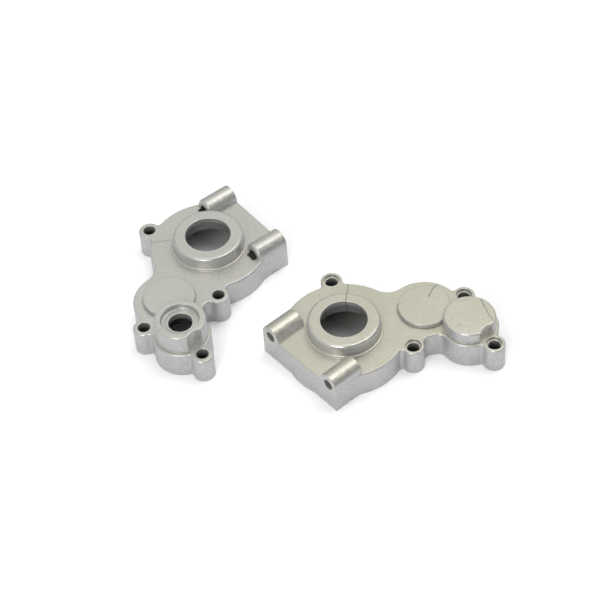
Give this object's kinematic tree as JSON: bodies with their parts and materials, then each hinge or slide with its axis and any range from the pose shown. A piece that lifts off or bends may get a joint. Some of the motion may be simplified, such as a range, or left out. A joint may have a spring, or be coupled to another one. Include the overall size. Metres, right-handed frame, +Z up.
{
  "type": "gearbox case",
  "caption": "Moulded gearbox case in mirrored halves with bearing ring, idler pad, shaft hub or closed cap, screw bosses and mounting tubes, lying open side down.",
  "frame": {"origin": "middle of the pair as it lies, on the surface under the mating faces", "axes": "+Z up, out of the outer faces; +X from the closed half's end face towards its idler; +Y from the closed half towards the shaft half"},
  "size_m": [0.0726, 0.098, 0.0132],
  "materials": {
    "shaft_half": "satin",
    "closed_half": "satin"
  },
  "bodies": {
    "root": {"shaft_half": "shaft_half", "closed_half": "closed_half"}
  },
  "joints": []
}
